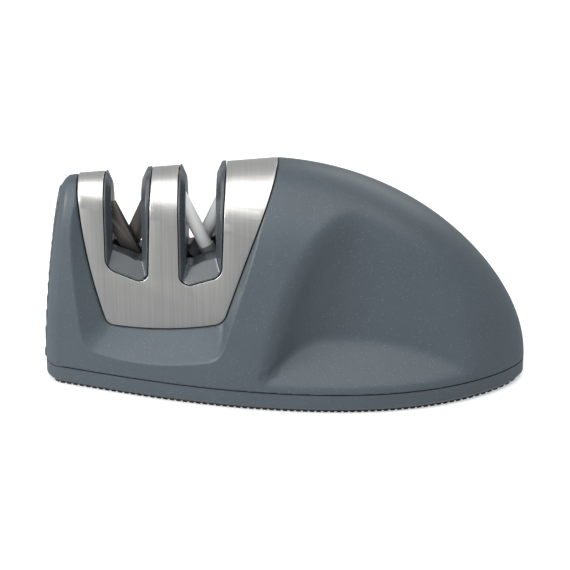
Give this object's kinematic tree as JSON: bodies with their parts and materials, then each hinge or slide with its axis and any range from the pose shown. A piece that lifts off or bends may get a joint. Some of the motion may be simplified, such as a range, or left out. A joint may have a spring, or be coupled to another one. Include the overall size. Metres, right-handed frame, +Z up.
{
  "type": "pull through knife sharpener",
  "caption": "Pull through knife sharpener: a moulded handle body with a steel saddle over a coarse carbide slot and a fine ceramic slot, on a rubber foot.",
  "frame": {"origin": "middle of the bounding box at the underside of the rubber foot", "axes": "+X from the nose to the handle's tail, +Y across the body away from the viewer, +Z up"},
  "size_m": [0.1475, 0.059, 0.0693],
  "materials": {
    "body": "fine matte moulded plastic with a faint metallic fleck",
    "grip_rubber": "ribbed matte rubber",
    "brushed_steel": "stainless sheet brushed up and down",
    "inner_plastic": "plain moulded",
    "guide_plastic": "satin moulded",
    "carbide": "ground",
    "pin_steel": "plain",
    "ceramic": "fine unglazed",
    "socket_plastic": "satin",
    "screw_steel": "zinc plated"
  },
  "bodies": {
    "root": {"body_shell": "body", "base_plate": "body", "grip_pad": "grip_rubber", "steel_cover": "brushed_steel", "module_frame": "inner_plastic", "coarse_guide_front": "guide_plastic", "coarse_guide_rear": "guide_plastic", "fine_guide_front": "guide_plastic", "fine_guide_rear": "guide_plastic", "carbide_plate_front": "carbide", "carbide_plate_rear": "carbide", "carbide_pins": "pin_steel", "ceramic_rod_front": "ceramic", "ceramic_rod_rear": "ceramic", "rod_socket_front": "socket_plastic", "rod_socket_rear": "socket_plastic", "coarse_guide_screws": "screw_steel", "fine_guide_screws": "screw_steel", "module_screws": "screw_steel", "base_screws": "screw_steel"}
  },
  "joints": []
}
